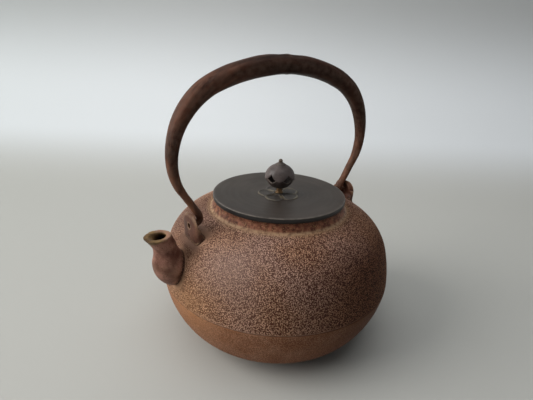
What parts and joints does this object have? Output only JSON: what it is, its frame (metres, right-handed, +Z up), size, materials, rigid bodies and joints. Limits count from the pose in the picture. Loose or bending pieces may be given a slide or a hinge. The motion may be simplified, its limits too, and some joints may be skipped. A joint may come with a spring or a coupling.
{
  "type": "cast iron kettle",
  "caption": "Round cast iron kettle with a short upward spout, a swinging bail handle hooked into lugs, and a lift-off bronze lid with a petal knob.",
  "frame": {"origin": "middle of the flat base, on the surface that the kettle stands on", "axes": "+Z up through the lid's knob, -X towards the spout, handle standing in the XZ plane"},
  "size_m": [0.1863, 0.17, 0.1996],
  "materials": {
    "body_iron": "brown lacquered cast iron, fine hail grain, worn to tan on its crests",
    "handle_iron": "smooth forged iron with dark brown lacquer",
    "lid_bronze": "dark patinated bronze, satin",
    "knob_bronze": "dark patinated bronze, satin",
    "stem_copper": "brown copper pin, satin"
  },
  "bodies": {
    "pot": {"kettle_body": "body_iron"},
    "bail": {"handle": "handle_iron"},
    "cover": {"lid": "lid_bronze", "knob_seat": "lid_bronze"},
    "knob": {"knob_bud": "knob_bronze", "knob_calyx": "knob_bronze", "knob_stem": "stem_copper", "stem_washer": "stem_copper"}
  },
  "joints": [
    {"name": "handle_swing", "type": "hinge", "parent": "pot", "child": "bail", "pos_m": [0, 0, 0.0946], "axis": [1, 0, 0], "range_deg": [-50, 50]},
    {"name": "lid_lift", "type": "slide", "parent": "pot", "child": "cover", "axis": [0, 0, 1], "range_m": [0, 0.045]},
    {"name": "knob_turn", "type": "hinge", "parent": "cover", "child": "knob", "pos_m": [0, 0, 0.1046], "axis": [0, 0, 1], "continuous": true}
  ]
}
